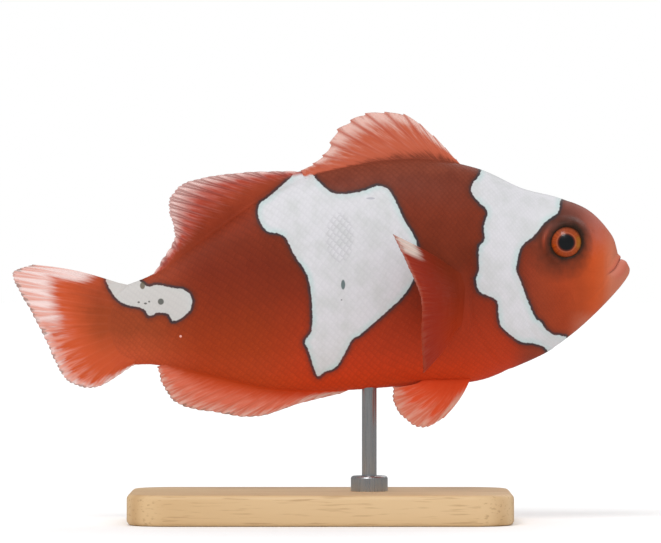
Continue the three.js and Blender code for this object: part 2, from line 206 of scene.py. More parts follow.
# Rings of the eye, laid over each other: where each begins and is full, its strength and tone.
EYE_RINGS = (
    (PUPIL_RADIUS + 0.42, PUPIL_RADIUS + 0.2, 0.6, "inner_iris"),
    (PUPIL_RADIUS + 0.26, PUPIL_RADIUS + 0.02, 1, "pupil_edge"),
    (IRIS_RADIUS - 0.3, IRIS_RADIUS + 0.2, 1, "eye_rim"),
    (PUPIL_RADIUS + 0.06, PUPIL_RADIUS - 0.2, 1, "pupil"),
)

# Fins: points along the root and along the outer edge, in step with each other; those of the paired
# fins have a y too. A look gives where along the rays the body's colours fade out, the colours of
# the web, margin, rays and tips, where the margin begins, how clear it is and how streaked the web.
FINS = {
    "spiny": dict(
        rays=13, tips=1, fringe=0.32, sway=0.5, thick=(0.5, 0.12), forks=0.0,
        pale=((0.5, 1.0, 0.9, 1.0), (0.25, 0.85, 0.2, 0.45)),
        look=dict(
            flesh=(-0.02, 0.22), web=(186, 92, 66), margin=(228, 178, 164), rays=(176, 82, 62),
            tips=(200, 138, 122), begins=0.55, clear=0.35, streaked=0.5,
        ),
        root=(
            (22.8, 17.8), (21.3, 18.2), (19.3, 18.6), (16.6, 18.8), (12.0, 18.6), (6.8, 17.9),
            (-2.6, 15.8),
        ),
        edge=(
            (21.8, 18.9), (18.2, 22.7), (13.4, 26.2), (7.1, 26.3), (2.6, 23.6), (0.2, 19.4),
            (-3.3, 17.1),
        ),
    ),
    "soft": dict(
        rays=17, tips=2, fringe=0.22, sway=0.7, thick=(0.45, 0.08), forks=1.0,
        pale=((0.6, 1.0, 0.7, 0.95),),
        look=dict(
            flesh=(0.2, 0.75), web=(172, 72, 58), margin=(234, 192, 184), rays=(130, 66, 60),
            tips=(196, 150, 144), begins=0.55, clear=0.4, streaked=0.25,
        ),
        root=(
            (-2.2, 15.9), (-5.8, 14.6), (-8.4, 13.3), (-11.2, 11.5), (-13.8, 9.6), (-16.6, 7.5),
            (-19.4, 5.5), (-22.2, 3.5), (-26.6, -1.4),
        ),
        edge=(
            (-2.8, 17.0), (-12.0, 16.7), (-18.0, 16.0), (-22.4, 14.8), (-24.5, 12.5), (-24.6, 10.2),
            (-23.9, 7.7), (-24.1, 5.2), (-27.9, -0.7),
        ),
    ),
    "anal": dict(
        rays=15, tips=2, fringe=0.22, sway=-0.5, thick=(0.45, 0.08), forks=1.0,
        pale=((-0.2, 0.7, 0.1, 0.32),),
        look=dict(
            flesh=(0.0, 0.6), web=(206, 104, 80), margin=(222, 168, 150), rays=(190, 88, 62),
            tips=(140, 104, 86), begins=0.6, clear=0.3, streaked=0.4,
        ),
        root=(
            (4.6, -18.6), (0.2, -18.8), (-4.5, -18.7), (-9.5, -18.3), (-14.7, -17.2), (-19.8, -15.9),
            (-25.0, -14.3),
        ),
        edge=(
            (3.0, -19.3), (-3.3, -20.8), (-10.5, -23.0), (-17.1, -22.3), (-22.8, -21.1),
            (-25.4, -18.4), (-26.6, -14.9),
        ),
    ),
    "caudal": dict(
        rays=15, tips=3, fringe=0.2, sway=1.6, thick=(0.6, 0.08), forks=1.0, arch=0.5,
        pale=((0.1, 0.5, 0.06, 0.17), (0.42, 0.8, 0.25, 0.6), (0.15, 1.0, 0.97, 0.76)),
        look=dict(
            flesh=(0.0, 0.55), web=(194, 82, 46), margin=(242, 212, 206), rays=(218, 134, 112),
            tips=(150, 118, 108), begins=0.74, clear=0.4, streaked=0.3,
        ),
        root=(
            (-32.8, -1.25), (-34.3, -3.0), (-35.0, -5.2), (-35.1, -7.9), (-34.9, -10.4),
            (-34.0, -12.7), (-32.4, -14.0), (-30.0, -14.0),
        ),
        edge=(
            (-46.8, 1.7), (-50.0, 0.3), (-48.6, -3.2), (-45.7, -8.5), (-43.4, -13.5), (-41.2, -17.1),
            (-36.6, -18.3), (-30.2, -14.7),
        ),
    ),
    "pelvic": dict(
        rays=6, tips=3, fringe=0.25, sway=0.0, thick=(0.4, 0.08), forks=1.0,
        pale=((-0.1, 0.8, 0.05, 0.28),),
        look=dict(
            flesh=(0.0, 0.55), web=(206, 76, 42), margin=(226, 168, 148), rays=(196, 88, 58),
            tips=(200, 134, 114), begins=0.62, clear=0.3, streaked=0.4,
        ),
        root=(
            (24.1, 1.5, -17.1), (22.4, 1.7, -17.3), (20.6, 1.8, -17.4), (18.7, 1.9, -17.5),
            (16.8, 1.8, -17.6),
        ),
        edge=(
            (19.8, 3.3, -23.2), (16.6, 4.4, -24.7), (13.6, 4.6, -23.4), (11.9, 4.0, -21.0),
            (11.5, 3.0, -18.2),
        ),
    ),
    "pectoral": dict(
        rays=16, tips=2, fringe=0.14, sway=0.0, thick=(0.36, 0.06), forks=1.0,
        pale=((0.6, 0.86, 0.08, 0.2), (0.92, 1.06, 0.35, 0.75)),
        look=dict(
            flesh=(0.1, 1.2), web=(142, 34, 16), margin=(220, 200, 188), rays=(176, 66, 36),
            tips=(156, 66, 46), begins=1.1, clear=0.35, streaked=0.12,
        ),
        root=(
            (22.6, 7.3, -0.3), (22.6, 7.5, -2.3), (22.4, 7.5, -4.2), (22.2, 7.4, -6.0),
            (22.0, 7.1, -7.6),
        ),
        edge=(
            (11.5, 16.4, 6.5), (13.8, 20.8, 1.6), (15.9, 22.2, -3.8), (16.0, 20.4, -9.8),
            (16.4, 15.2, -15.6),
        ),
    ),
}
# The fins on the middle plane: piece, kind, and the solid that it stands for.
MIDDLE_FINS = (
    ("dorsal_spiny", "spiny", "dorsal_fin_spiny"), ("dorsal_soft", "soft", "dorsal_fin_soft"),
    ("anal", "anal", "anal_fin"), ("caudal", "caudal", "caudal_fin"),
)
PAIRED_FINS = ("pectoral", "pelvic")
SIDES = (("left", 1), ("right", -1))
FIN_SWELL = 0.5  # how much the paired fins thicken towards their roots
FIN_BLEND = 0.3  # how softly the other fins run out of the back, belly and tail
ROOT_SUNK = 2.5  # how far a fin reaches into the body
ROOT_CLOSED = 0.45  # how much thinner it is there
RAY_BOW = 0.06
RAY_RELIEF = 0.3
STEPS_PER_RAY = 12
STEPS_ALONG_RAY = 44
SHEEN, FIN_SHEEN = 0.09, 0.05
AMBIENT, MIRRORED = 0.84, 0.3  # the backdrop as a lamp, and as seen in gloss

# Scales: their spacing along the fish and between neighbouring rows, at places along it (x).
SCALE_SPACING = (
    (-36, 0.8, 0.5), (-24, 0.92, 0.58), (-8, 1.05, 0.66), (10, 1.05, 0.66),
    (26, 0.8, 0.5), (34, 0.62, 0.4), (42, 0.5, 0.32),
)
SCALED_PART = (0.2, 0.975)  # of the way from the snout to the tail's root
LEAST_SCALED = 0.12  # no scale is laid where the skin is barer than this
HEAD_SHARE, FRONT_SHARE = 0.46, 0.63  # how far along it the head's and the front's scales reach
SCALE_LENGTH, SCALE_WIDTH = 1.62, 2.3  # in those two spacings
SCALE_STEP = 0.05  # how much higher its rear edge stands than its front, in its spacing
SCALE_CROWN = 0.5  # the rise of its middle, in its step
SCALE_THICK = 0.04
SCALE_SUNK, BARE_SUNK = 0.01, 0.05  # how deep they lie in the skin, and deeper where it is bare
PATCH = 0.003  # width of one scale's patch in its UV map

BASE_CORNER, BASE_EDGE = 7 * MM, 0.8 * MM
ROD_EDGE, ROD_SUNK = 0.25 * MM, 2 * MM  # the rod stands this deep in the base
COLLAR_EDGE, COLLAR_PLAY = 0.5 * MM, 0.02 * MM
TURNED_STEPS, TURNED_SHARP = 64, math.radians(40)


def smooth(low, high, value):
    """0 below low, 1 above high and a smooth step between."""
    share = np.clip((value - low) / (high - low), 0, 1)
    return share * share * (3 - 2 * share)


def bell(distance, width):
    return np.exp(-((distance / width) ** 2))


def unit(vectors):
    return vectors / np.maximum(np.linalg.norm(vectors, axis=-1, keepdims=True), 1e-9)


def spline(points, place):
    """A smooth curve through evenly numbered points; place runs from 0 to 1."""
    points = np.asarray(points, float)
    ends = np.vstack((2 * points[0] - points[1], points, 2 * points[-1] - points[-2]))
    step = np.clip(np.asarray(place, float), 0, 1) * (len(points) - 1)
    index = np.minimum(step.astype(int), len(points) - 2)
    f = (step - index)[..., None]
    before, start, end, after = ends[index], ends[index + 1], ends[index + 2], ends[index + 3]
    slope = (end - before) * f
    curve = (2 * before - 5 * start + 4 * end - after) * f**2
    twist = (3 * start - before - 3 * end + after) * f**3
    return 0.5 * (2 * start + slope + curve + twist)


def drawn(points, closed=False, fineness=8):
    """The points of a line or loop, filled in smoothly."""
    if not closed:
        return spline(points, np.linspace(0, 1, fineness * len(points)))
    wrapped = (*points[-2:], *points, *points[:3])
    count = len(wrapped) - 1
    place = np.linspace(2 / count, (len(points) + 2) / count, fineness * len(points))
    return spline(wrapped, place)


def to_frame(points):
    """Hundredths of the fish's length, from its level line, into the frame's metres."""
    return np.asarray(points) * PART + np.array((0, 0, LEVEL))


def from_line(line, x, z, margin=4.0):
    """Distance of side-view points to a line, on which side of it they lie, and how far along it."""
    low, high = line.min(0) - margin, line.max(0) + margin
    near = (x > low[0]) & (x < high[0]) & (z > low[1]) & (z < high[1])
    away, side, share = np.full(x.shape, FAR), np.zeros(x.shape), np.zeros(x.shape)
    start, step = line[:-1], np.diff(line, axis=0)
    length = np.maximum((step**2).sum(1), 1e-12)
    places = np.stack((x[near], z[near]), -1)
    found = np.empty((len(places), 3))
    for first in range(0, len(places), BATCH):
        batch = slice(first, first + BATCH)
        dx, dz = (places[batch, None, i] - start[:, i] for i in (0, 1))
        t = np.clip((dx * step[:, 0] + dz * step[:, 1]) / length, 0, 1)
        squared = (dx - t * step[:, 0]) ** 2 + (dz - t * step[:, 1]) ** 2
        best = squared.argmin(1)
        row = np.arange(best.size)
        turn = step[best, 0] * dz[row, best] - step[best, 1] * dx[row, best]
        reach = (best + t[row, best]) / len(step)
        found[batch] = np.stack((np.sqrt(squared[row, best]), np.sign(turn), reach), -1)
    away[near], side[near], share[near] = found.T
    return away, side, share


def inside_loop(loop, x, z, margin=2.5):
    """Distance of side-view points to a closed loop: above 0 inside it and below 0 outside."""
    away = np.full(x.shape, -FAR)
    low, high = loop.min(0) - margin, loop.max(0) + margin
    near = (x > low[0]) & (x < high[0]) & (z > low[1]) & (z < high[1])
    px, pz = x[near], z[near]
    distance = from_line(loop, px, pz)[0]
    crossings = np.zeros(px.shape, int)
    for (x0, z0), (x1, z1) in zip(loop[:-1], loop[1:]):
        if z1 != z0:
            crossings += ((z0 > pz) != (z1 > pz)) & (px < x0 + (pz - z0) * (x1 - x0) / (z1 - z0))
    away[near] = np.where(crossings % 2 == 1, distance, -distance)
    return away


# ---------------------------------------------------------------------------------------------
# The body's surface, from along (0 snout, 1 tail root) and turn (0 back, pi belly, + left side).
# ---------------------------------------------------------------------------------------------


def body_point(along, turn):
    ring = spline(RINGS, along)
    down = (1 - np.cos(turn)) / 2
    start = np.clip(along * (len(RINGS) - 1), 0, 1)
    x = ring[..., 0] + (ring[..., 2] - ring[..., 0]) * down + TIP_ROUNDING * start * (1 - start) ** 2
    z = ring[..., 1] + (ring[..., 3] - ring[..., 1]) * down
    side = np.sign(np.sin(turn)) * np.abs(np.sin(turn)) ** SECTION_FULLNESS
    return np.stack((x, side * np.maximum(ring[..., 4], 0), z), -1)


def body_normal(along, turn):
    """The way out of the plain body, turning straight ahead at the snout's tip and back at the tail."""
    step = 0.002
    inner = np.clip(along, 2 * step, 1 - 2 * step)
    lengthwise = body_point(inner + step, turn) - body_point(inner - step, turn)
    round_about = body_point(inner, turn + step) - body_point(inner, turn - step)
    normal = unit(np.cross(round_about, lengthwise))
    tip = np.where(along < 0.5, 1 - smooth(0, 0.03, along), -1 + smooth(0, 0.01, 1 - along))
    normal = normal * (1 - np.abs(tip))[..., None]
    normal[..., 0] += tip
    return unit(normal)


def eye_distance(point):
    away = np.hypot(point[..., 0] - EYE[0], point[..., 2] - EYE[1])
    return np.where(np.abs(point[..., 1]) > 2.5, away, FAR)


def ridges(away, rows):
    """Ridges and hollows beside a line or axis, from rows of height, distance from it and width."""
    return sum(height * bell(away - middle, width) for height, middle, width in rows)


def mouth_relief(x, z):
    """A closed mouth: a fine cleft, a slim upper lip and a full lower one that juts out."""
    away, side, share = from_line(drawn(MOUTH), x, z)
    above = np.where(side == 0, FAR, away * -side)
    fade = 1 - smooth(0.72, 1.0, share)
    cleft = ridges(away, MOUTH_CLEFT) * (0.3 + 0.7 * fade)
    lower = ridges(above, LOWER_LIP) * (1 - smooth(0.45, 0.95, share))
    return cleft + (ridges(above, UPPER_LIP) + lower) * fade


def crease(line, depth, width, x, z):
    away, _, share = from_line(drawn(line), x, z)
    return -depth * bell(away, width) * smooth(0, 0.12, share) * (1 - smooth(0.8, 1, share))


def gill_relief(x, z):
    """The gill cover stands a little proud of the trunk behind it, with a thin free edge."""
    away, side, share = from_line(drawn(GILL_EDGE), x, z, 7.0)
    ahead = away * side
    fade = smooth(0.0, 0.16, share) * (1 - smooth(0.84, 1, share))
    cover = 0.08 * smooth(-0.3, 0.5, ahead) * np.exp(-np.maximum(ahead, 0) / 2.2)
    return (cover - 0.05 * bell(ahead + 0.5, 0.4)) * fade


def relief(point):
    """How far the skin stands out of the plain body: folds, lips, gill covers and eye rims."""
    x, y, z = point[..., 0], point[..., 1], point[..., 2]
    eye = eye_distance(point)
    rim_level = EYE_OUT + EYE_DEPTH * math.sqrt(1 - (IRIS_RADIUS / EYE_RADIUS) ** 2)
    rim = (rim_level - np.abs(y)) * 1.04 * (1 - smooth(2.6, 4.6, eye)) + ridges(eye, EYE_RIM)
    socket = -SOCKET_DEPTH * (1 - smooth(SOCKET_FLOOR, SOCKET_EDGE, eye))
    fold = ridges(eye, EYE_FOLD) * bell(np.arctan2(z - EYE[1], EYE[0] - x) - 0.3, 0.6)
    nostril = ridges(np.hypot(x - NOSTRIL[0], z - NOSTRIL[1]), NOSTRIL_PIT) * (np.abs(y) > 1.5)
    cheek_x, cheek_z, long, tall, height = CHEEK_BULGE
    cheek = height * bell(x - cheek_x, long) * bell(z - cheek_z, tall)
    lobe = 0.4 * bell(from_line(drawn(PECTORAL_BASE), x, z)[0], 1.6) * (x < 24.2)
    folds = sum(crease(*row, x, z) for row in CREASES)
    return rim + socket + fold + nostril + cheek + lobe + folds + mouth_relief(x, z) + gill_relief(x, z)


def scaled_share(point):
    """1 where scales cover the skin, fading to 0 on the snout and at the eyes and the roots of fins."""
    x, z = point[..., 0], point[..., 2]
    root, _, _ = from_line(drawn(PECTORAL_BASE), x, z)
    share = np.where(np.abs(point[..., 1]) > 3, smooth(0.4, 2.2, root), 1)
    naked, front, _ = from_line(drawn(NAKED_FACE, fineness=4), x, z, 12.0)
    face = smooth(-0.6, 3.2, -naked * front) * smooth(3.0, 5.2, eye_distance(point))
    return share * np.where(x > 30, face, smooth(-35.6, -31.5, x))


def coat_depth(point):
    """How far the skin lies under the solids: the scales' depth where there are scales."""
    return COAT_DEPTH * scaled_share(point)


def seen_from_side(point):
    """Where points lie on the side view, x and z: what is nearer than the middle plane looks larger."""
    nearer = VIEW_FROM / (VIEW_FROM - np.abs(point[..., 1]))
    places = zip((point[..., 0], point[..., 2]), VIEW_MIDDLE)
    return [middle + (place - middle) * nearer for place, middle in places]


def eye_shade(point):
    """Dark skin round the eye, 1 beside it and fading away; below 0 on the pale fold behind it."""
    away = eye_distance(point)
    near = np.maximum(away, 0.1)
    ahead = (point[..., 0] - EYE[0]) / near
    above = (point[..., 2] - EYE[1]) / near
    ways = [1, *(np.maximum(way, 0) for way in (ahead, -ahead, -above))]
    reach = np.where(away < 8, sum(much * way for much, way in zip(SHADE_REACH, ways)), 1)
    fold = 1.1 * bell(away - 3.6, 0.28) * bell(np.arctan2(above, -ahead) - 0.3, 0.45)
    return 0.81 * (1 - smooth(2.3, 2.3 + reach, away)) + 0.26 * (1 - smooth(2.4, 3.1, away)) - fold


def markings(point):
    """Everything that the skin's colours depend on, as one value per point for each name."""
    x, z = seen_from_side(point)
    bars = [inside_loop(drawn(loop, closed=True, fineness=4), x, z) for loop in WHITE_BARS]
    away, side, share = from_line(drawn(MOUTH), x, z)
    return {
        "bar": np.maximum.reduce(bars),
        "halo": eye_shade(point),
        "lips": (1 - smooth(1.3, 2.1, away)) * (1 - smooth(0.6, 1, share)),
        "mouth": away * -side,
    }


# ---------------------------------------------------------------------------------------------
# Shader trees.
# ---------------------------------------------------------------------------------------------


class Tree:
    """Adds nodes to a shader tree and joins them."""

    def __init__(self, tree):
        self.tree = tree

    def add(self, kind, *values, out=0, **settings):
        """An output of a new node; settings with a capital are its sockets, and the rest its own."""
        node = self.tree.nodes.new("ShaderNode" + kind)
        sockets = {key: settings.pop(key) for key in list(settings) if key[0].isupper()}
        for key, value in settings.items():
            setattr(node, key, value)
        for place, value in enumerate(values):
            self.feed(node.inputs[place], value)
        self.feed_all(node, **sockets)
        return node.outputs[out]

    def feed(self, socket, value):
        """Joins a socket to another or sets it, to a colour where the value is one's name."""
        if isinstance(value, bpy.types.NodeSocket):
            self.tree.links.new(value, socket)
        else:
            socket.default_value = TONES[value] if isinstance(value, str) else value

    def feed_all(self, node, **values):
        for name, value in values.items():
            self.feed(node.inputs[name.replace("_", " ")], value)

    def math(self, operation, *values):
        return self.add("Math", *values, operation=operation)

    def times(self, first, second):
        return self.math("MULTIPLY", first, second)

    def swing(self, value, strength, base):
        """A value's swing about a half, times its strength, added to a base."""
        return self.math("MULTIPLY_ADD", self.math("SUBTRACT", value, 0.5), strength, base)

    def step(self, value, low, high, start=0.0, end=1.0):
        return self.add("MapRange", value, low, high, start, end, interpolation_type="SMOOTHSTEP")

    def mix(self, share, first, second, blend="MIX"):
        node = self.tree.nodes.new("ShaderNodeMix")
        node.data_type = "RGBA"
        node.blend_type = blend
        for place, value in ((0, share), (6, first), (7, second)):
            self.feed(node.inputs[place], value)
        return node.outputs[2]

    def paint(self, ground, *coats):
        """Coats of colour over a ground; each is where it shows, how strongly, and its colour."""
        for share, strength, tone in coats:
            ground = self.mix(share if strength == 1 else self.times(share, strength), ground, tone)
        return ground

    def shaded(self, ground, value, strength):
        """A colour that a value makes darker at 0 and lighter at 1."""
        light = self.mix(value, (*(1 - strength,) * 3, 1), (*(1 + strength,) * 3, 1))
        return self.mix(1.0, ground, light, "MULTIPLY")

    def noise(self, where, scale, detail=3.0, roughness=0.5):
        return self.add("TexNoise", where, Scale=scale, Detail=detail, Roughness=roughness)

    def attribute(self, name):
        return self.add("Attribute", attribute_name=name, out=2)

    def place(self, scale=(1, 1, 1), offset=(0, 0, 0)):
        """Object coordinates, stretched and moved."""
        spot = self.add("TexCoord", out=3)
        return self.add("Mapping", spot, offset, (0, 0, 0), scale, vector_type="POINT")

    def on_fish(self):
        """Object coordinates in hundredths of the fish's length, from its level line."""
        return self.place((1 / PART, 1 / PART, 1 / PART), (0, 0, -LEVEL / PART))

    def split(self, vector):
        node = self.add("SeparateXYZ", vector).node
        return node.outputs[0], node.outputs[1], node.outputs[2]

    def ramp(self, value, stops):
        """Colours at places along a value; each stop is its place and its red, green and blue."""
        low, high = stops[0][0], stops[-1][0]
        share = self.add("MapRange", value, low, high, 0.0, 1.0)
        node = self.tree.nodes.new("ShaderNodeValToRGB")
        points = node.color_ramp.elements
        for _ in stops[2:]:
            points.new(0.5)
        for point, (place, *tone) in zip(points, stops):
            point.position = (place - low) / (high - low)
            point.color = colour(*tone)
        self.feed(node.inputs[0], share)
        return node.outputs[0]

    def bump(self, height, strength, distance):
        return self.add("Bump", Strength=strength, Distance=distance, Height=height)


SOCKETS = {"value": "NodeSocketFloat", "colour": "NodeSocketColor"}


def shader_group(name, takes, gives):
    """An empty shader node group, from the values of its inputs and the kinds of its outputs."""
    tree = bpy.data.node_groups.new(name, "ShaderNodeTree")
    for socket, value in takes.items():
        made = tree.interface.new_socket(name=socket, in_out="INPUT", socket_type=SOCKETS["value"])
        made.default_value = value
    for socket, kind in gives.items():
        tree.interface.new_socket(name=socket, in_out="OUTPUT", socket_type=SOCKETS[kind])
    return Tree(tree), tree.nodes.new("NodeGroupInput").outputs, tree.nodes.new("NodeGroupOutput")


def use_group(t, group, **values):
    node = t.tree.nodes.new("ShaderNodeGroup")
    node.node_tree = group
    t.feed_all(node, **values)
    return node.outputs


def new_material(name):
    material = bpy.data.materials.new(name)
    material.use_nodes = True
    tree = Tree(material.node_tree)
    shader = material.node_tree.nodes["Principled BSDF"]
    return material, tree, shader


def mottling_group():
    """Soft blotches and fine grain, as one value about 0.5, for flesh and fins."""
    t, value, gives = shader_group(
        "mottling", {"Blotch": 0.3, "Fineness": 3.0, "Grain": 0.35}, {"Tone": "value"}
    )
    spot = t.on_fish()
    blotch = t.noise(spot, value["Blotch"], 4.0, 0.55)
    grain = t.noise(spot, value["Fineness"], 2.0)
    t.feed_all(gives, Tone=t.swing(grain, value["Grain"], blotch))
    return t.tree


def flesh_group(mottling):
    """The ground colour: maroon back, orange belly, ruddy tail and paler snout."""
    t, value, gives = shader_group("flesh", {"Tint": 0.5}, {"Colour": "colour"})
    tone = use_group(t, mottling)["Tone"]
    x, _, z = t.split(t.on_fish())
    drift = t.swing(tone, 5.0, z)
    front, rear, tail = (t.ramp(drift, GROUND[part]) for part in ("front", "rear", "tail"))
    brow = t.mix(t.step(x, 40.0, 47.0), "brow_rear", "brow_front")
    chin = t.times(t.step(x, 39.5, 43.0), t.step(drift, -5.0, -8.5))
    cheek = t.paint(t.ramp(x, GROUND["cheek"]), (chin, 0.4, "chin"))
    face = t.mix(t.step(drift, 3.0, 9.5), cheek, brow)
    flesh = t.paint(
        front, (t.step(x, 2.0, -12.0), 1, rear), (t.step(x, -18.0, -30.0), 1, tail),
        (t.step(x, 30.0, 34.5), 1, face),
    )
    t.feed_all(gives, Colour=t.shaded(flesh, t.swing(tone, 0.5, value["Tint"]), 0.26))
    return t.tree


def fish_colour_group(flesh_tones):
    """Markings over the ground colour: dark eye ring, lips with painted shade in their crease, white
    bars, outlines and freckles.
    """
    t, value, gives = shader_group(
        "fish_colours",
        {"Bar": -FAR, "Halo": 0.0, "Lips": 0.0, "Mouth": FAR, "Tint": 0.5, "Rim": 0.0},
        {"Colour": "colour", "White": "value"},
    )
    halo, lips, mouth, rim = (value[name] for name in ("Halo", "Lips", "Mouth", "Rim"))
    spot = t.on_fish()
    x, _, z = t.split(spot)
    eye_shade = t.times(t.swing(t.noise(spot, 0.9, 3.0), 0.5, halo), t.step(halo, 0.0, 0.15))
    lower, upper, cleft_shade = (
        t.times(t.step(height, *ends), lips)
        for height, ends in (
            (mouth, (0.05, -0.25)), (mouth, (0.9, 0.1)), (t.math("ABSOLUTE", mouth), (0.16, 0.02)),
        )
    )
    lip = t.mix(t.step(mouth, -1.3, -0.3), "under_lip", "lower_lip")
    cloud = t.noise(spot, 0.35, 3.0, 0.6)
    bar = t.swing(t.noise(spot, 1.5, 3.0, 0.6), 0.45, value["Bar"])
    outline = t.times(t.step(bar, -0.62, -0.24), t.step(cloud, 0.3, 0.7, 0.9, 0.65))
    flesh = t.paint(
        use_group(t, flesh_tones, Tint=value["Tint"])["Colour"],
        (rim, 0.16, "scale_edge"),
        (eye_shade, 0.95, "eye_shade"),
        (t.step(halo, -0.02, -0.45), 0.6, "eye_fold"),
        (lower, 0.8, lip),
        (upper, 0.5, "upper_lip"),
        # Painted shade along the crease where the lips meet.
        (cleft_shade, 0.5, "cleft_shade"),
        (t.step(bar, -1.4, -0.35), 0.35, "bar_dusk"),
        (outline, 1, "bar_outline"),
    )
    pearl = t.paint(
        "bar_edge",
        (t.step(bar, 0.1, 1.2), 1, "bar"),
        (t.step(cloud, 0.35, 0.7), 1, "bar_cloud"),
        (t.step(x, -16.0, -24.0), 0.9, "tail_bar"),
    )
    middle_x, middle_z, wide, tall = GREY_OVAL
    oval_x = t.math("DIVIDE", t.math("SUBTRACT", x, middle_x), wide)
    oval_z = t.math("DIVIDE", t.math("SUBTRACT", z, middle_z), tall)
    oval = t.math("ADD", t.times(oval_x, oval_x), t.times(oval_z, oval_z))
    grey = t.times(rim, t.step(oval, 1.15, 0.75, 0.1, 0.3))
    pearl = t.mix(grey, t.shaded(pearl, value["Tint"], 0.05), "grey_edge")
    white = t.step(bar, -0.1, 0.08)
    result = t.mix(white, flesh, pearl)
    for across, up, wide, tall, tone in FRECKLES:
        offset, size = (-across / wide, 0, -up / tall), (1 / wide, 0, 1 / tall)
        freckle = t.add("Mapping", spot, offset, (0, 0, 0), size)
        away = t.add("VectorMath", freckle, out=1, operation="LENGTH")
        result = t.paint(result, (t.step(away, 1.15, 0.8), 0.85, colour(*tone)))
    t.feed_all(gives, Colour=result, White=white)
    return t.tree


MARKING_SOCKETS = {"Bar": "bar", "Halo": "halo", "Lips": "lips", "Mouth": "mouth"}


def marked(t, fish_colours, tint, rim=0.0):
    """The fish's colours, fed from the piece's own attributes."""
    values = {socket: t.attribute(name) for socket, name in MARKING_SOCKETS.items()}
    return use_group(t, fish_colours, **values, Tint=tint, Rim=rim)


def skin_material(fish_colours, mottling):
    material, t, shader = new_material("fish_skin")
    tone = use_group(t, mottling, Blotch=1.1, Fineness=5.0)["Tone"]
    t.feed_all(
        shader, Base_Color=marked(t, fish_colours, 0.5)["Colour"],
        Roughness=t.step(tone, 0.2, 0.8, 0.38, 0.54), Normal=t.bump(tone, 0.25, 0.12 * MM),
        Specular_IOR_Level=SHEEN,
    )
    return material


def scale_material(fish_colours, mottling):
    material, t, shader = new_material("fish_scales")
    tint = t.step(t.attribute("tint"), 0.0, 1.0, 0.42, 0.58)
    tone = use_group(t, mottling, Blotch=1.1, Fineness=6.0)["Tone"]
    t.feed_all(
        shader, Base_Color=marked(t, fish_colours, tint, t.attribute("rim"))["Colour"],
        Roughness=t.step(tone, 0.2, 0.8, 0.38, 0.5), Specular_IOR_Level=SHEEN,
    )
    return material


def fin_material(
    name, fish_colours, mottling, flesh, web, margin, rays, tips, begins, clear, streaked
):
    """A rayed fin: flesh that fades into a streaked web, darker rays and a pale, clearer margin."""
    material, t, shader = new_material(name)
    web, margin, rays, tips = (colour(*tone) for tone in (web, margin, rays, tips))
    share, ray, across, patch = (t.attribute(word) for word in ("share", "ray", "across", "pale"))
    tone = use_group(t, mottling, Blotch=0.6, Fineness=5.0)["Tone"]
    lengthwise = t.add("CombineXYZ", t.times(across, 4.5), t.times(share, 2.4))
    streak = t.noise(lengthwise, 1.0, 3.0, 0.6)
    reach = t.swing(tone, 0.15, t.swing(streak, streaked, share))
    fleck = t.times(
        t.step(streak, 0.42, 0.78, 0.0, streaked), t.step(share, begins - 0.45, begins + 0.15)
    )
    pale = t.times(t.step(t.swing(streak, 0.9, patch), 0.1, 0.9), t.step(patch, 0.0, 0.3))
    veil = t.math("MAXIMUM", t.step(reach, begins, max(1.0, begins + 0.1)), pale)
    line = t.times(ray, t.step(share, begins - 0.35, begins + 0.15, 0.03, 0.8))
    colours = t.paint(
        marked(t, fish_colours, 0.5)["Colour"],
        (t.step(reach, *flesh), 1, web), (fleck, 1, margin), (veil, 1, margin), (line, 1, rays),
        (t.step(reach, 0.93, 1.0), 0.8, tips),
    )
    thin = t.times(veil, t.math("MULTIPLY_ADD", ray, -0.7, 1.0))
    t.feed_all(
        shader, Base_Color=colours, Roughness=t.step(tone, 0.2, 0.8, 0.42, 0.58),
        Alpha=t.math("MULTIPLY_ADD", thin, -clear, 1.0), Normal=t.bump(streak, 0.3, 0.1 * MM),
        Specular_IOR_Level=FIN_SHEEN,
    )
    return material


def iris_material():
    """Blue-black pupil, paler inner ring, orange iris with fine spokes, a painted shadow over its top,
    a dark rim and a wet gloss.
    """
    material, t, shader = new_material("eye_iris")
    spot = t.place((1 / PART, 1 / PART, 1 / PART), (-EYE[0], 0, -LEVEL / PART - EYE[1]))
    x, _, z = t.split(spot)
    out = t.math("SQRT", t.math("ADD", t.times(x, x), t.times(z, z)))
    angle = t.math("ARCTAN2", z, x)
    swing_x, swing_z = (t.times(t.math(wave, angle), 5.0) for wave in ("COSINE", "SINE"))
    spokes = t.noise(t.add("CombineXYZ", swing_x, swing_z), 2.0, 3.0)
    gold = t.times(t.step(x, 0.9, 2.2), t.step(t.math("ABSOLUTE", z), 1.3, 0.5, 0.15, 0.75))
    whole = t.paint(
        "iris_deep",
        (t.step(spokes, 0.3, 0.7), 1, "iris"), (gold, 1, "iris_gold"),
        # Painted shadow over the upper part of the iris.
        (t.step(z, 0.6, 2.2), 0.45, "iris_top_shadow"),
        *((t.step(out, begins, full), much, name) for begins, full, much, name in EYE_RINGS),
    )
    t.feed_all(
        shader, Base_Color=whole, Roughness=0.35, Specular_IOR_Level=0.2, Coat_Roughness=0.1,
        Coat_Weight=t.step(out, IRIS_RADIUS + 0.5, IRIS_RADIUS, 0.15, 0.35),
    )
    return material


